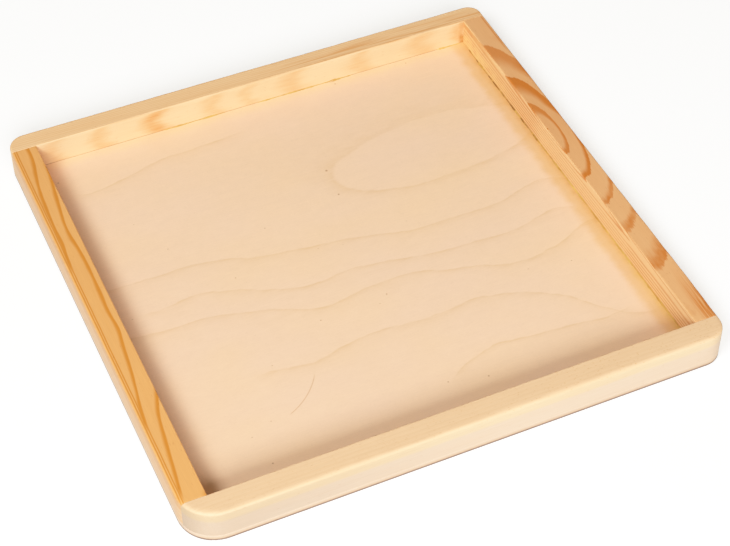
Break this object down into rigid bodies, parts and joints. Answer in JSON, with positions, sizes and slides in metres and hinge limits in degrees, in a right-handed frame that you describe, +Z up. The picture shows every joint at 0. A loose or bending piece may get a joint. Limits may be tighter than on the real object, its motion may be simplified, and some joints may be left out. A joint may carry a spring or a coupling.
{
  "type": "shallow wooden tray",
  "caption": "Shallow square wooden tray: a thin plywood panel with softwood strips glued and pinned round its edge, used as a transfer or activity board.",
  "frame": {"origin": "middle of the square, on the surface that the tray stands on", "axes": "+X along the front strip, left to right; +Y from the front strip to the back strip; +Z up, out of the open side"},
  "size_m": [0.3, 0.3, 0.0205],
  "materials": {
    "birch_veneer": "sanded raw rotary-cut birch",
    "birch_core": "sanded end grain of the middle ply",
    "pine": "planed and sanded raw softwood",
    "pin_steel": "bright drawn wire, dulled",
    "dried_glue": "dried yellow wood glue"
  },
  "bodies": {
    "root": {"base_back_veneer": "birch_veneer", "base_core_veneer": "birch_core", "base_face_veneer": "birch_veneer", "front_rail": "pine", "back_rail": "pine", "left_rail": "pine", "right_rail": "pine", "base_pins": "pin_steel", "right_glue_bead": "dried_glue", "back_glue_beads": "dried_glue"}
  },
  "joints": []
}
